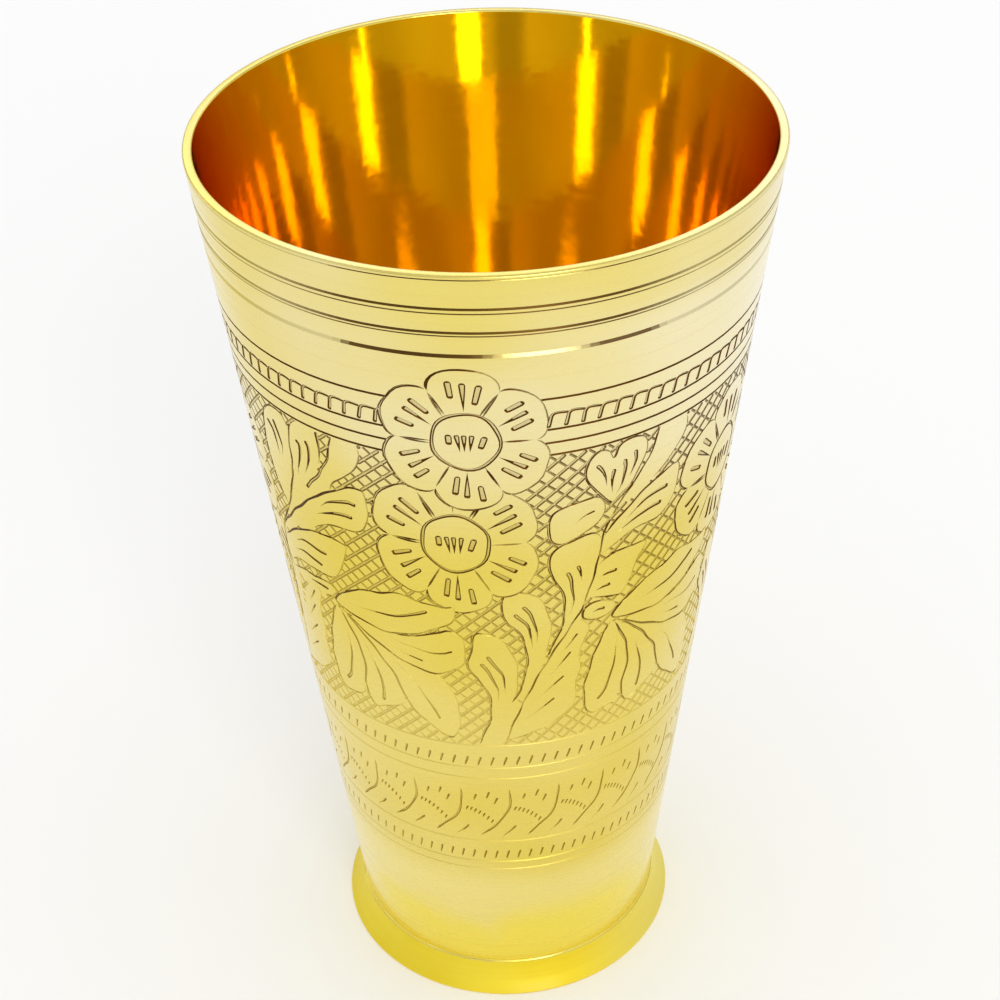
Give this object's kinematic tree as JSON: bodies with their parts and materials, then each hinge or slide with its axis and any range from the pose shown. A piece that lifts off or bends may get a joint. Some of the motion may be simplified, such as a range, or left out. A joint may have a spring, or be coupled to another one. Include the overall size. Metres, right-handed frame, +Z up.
{
  "type": "tumbler",
  "caption": "Tapered brass drinking cup with a flat rim, turned lines below it, an engraved floral wall and a flared foot.",
  "frame": {"origin": "on the table, at the middle of the foot", "axes": "+Z up along the axis of the cup; -Y towards the side shown in the picture; +X to its right"},
  "size_m": [0.0914, 0.0914, 0.16],
  "materials": {
    "wall_brass": "pale polished brass, hand-engraved outside",
    "floor_brass": "plain turned brass sheet",
    "foot_brass": "polished yellow brass",
    "hard_solder": "smooth hard solder of brass alloy"
  },
  "bodies": {
    "root": {"body_wall": "wall_brass", "floor_disc": "floor_brass", "foot_ring": "foot_brass", "foot_solder_ring": "hard_solder", "floor_solder_fillet": "hard_solder"}
  },
  "joints": []
}
